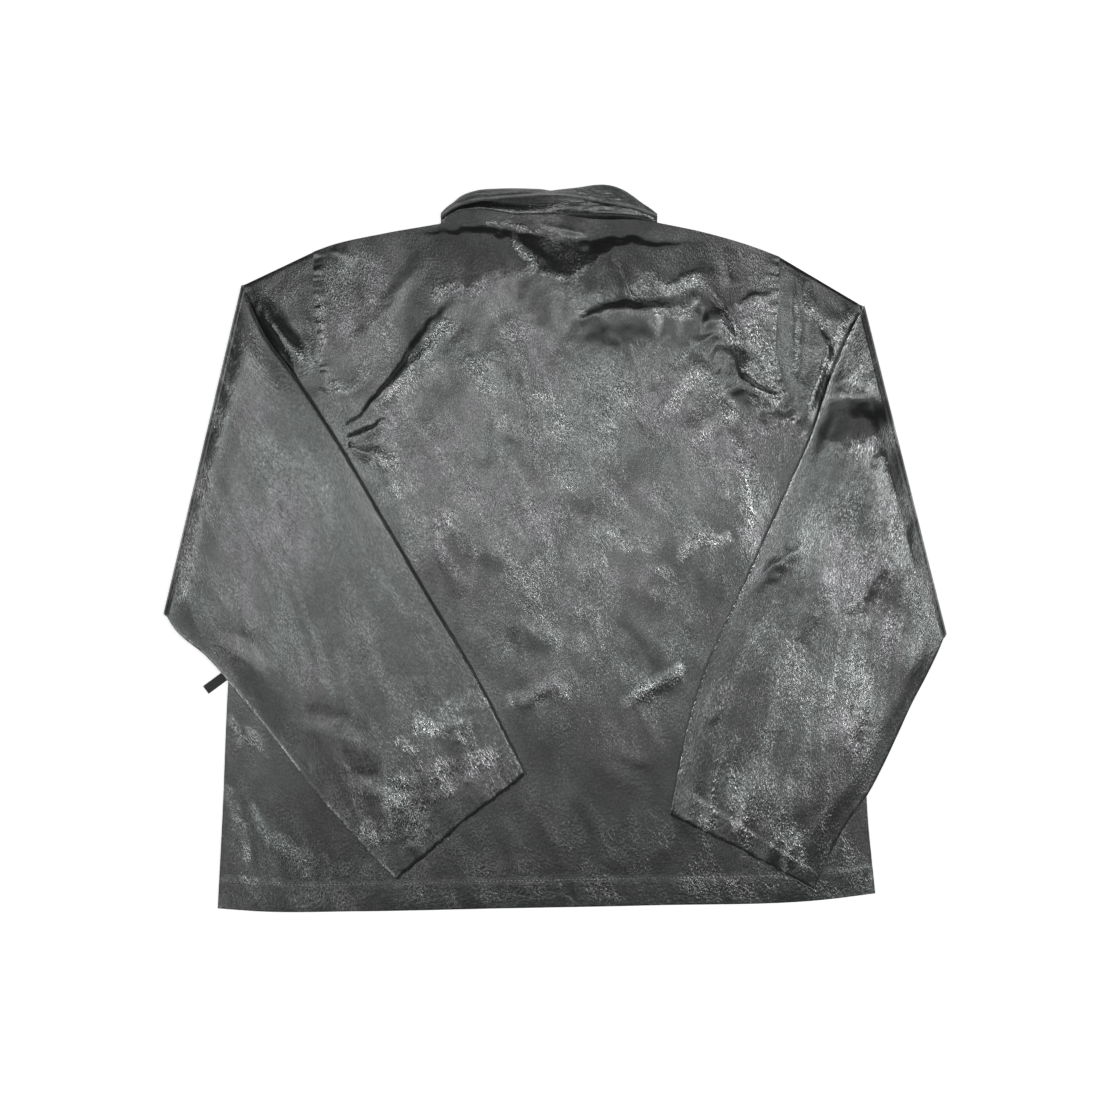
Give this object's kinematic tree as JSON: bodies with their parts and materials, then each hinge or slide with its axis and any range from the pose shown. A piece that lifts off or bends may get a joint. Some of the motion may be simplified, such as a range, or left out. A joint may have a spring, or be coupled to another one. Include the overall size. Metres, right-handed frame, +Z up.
{
  "type": "windbreaker jacket",
  "caption": "Crinkled metallic nylon windbreaker laid face down, with a turn-down collar and both long sleeves folded over its back.",
  "frame": {"origin": "on the surface the jacket lies on, under the middle of its outline", "axes": "+X across the jacket to the right as seen from above, +Y from hem to collar, +Z up off the surface"},
  "size_m": [0.7787, 0.7238, 0.023],
  "materials": {
    "shell_nylon": "crinkled metallic sheen",
    "zip_tape": "matt woven tape with closed teeth",
    "ribbed_tape": "matt ribbed tape"
  },
  "bodies": {
    "root": {"back": "shell_nylon", "front_left": "shell_nylon", "front_right": "shell_nylon", "sleeve_left": "shell_nylon", "sleeve_right": "shell_nylon", "collar_stand": "shell_nylon", "collar_leaf": "shell_nylon", "collar_front_left": "shell_nylon", "collar_front_right": "shell_nylon", "front_zip": "zip_tape", "side_tab": "ribbed_tape"}
  },
  "joints": []
}
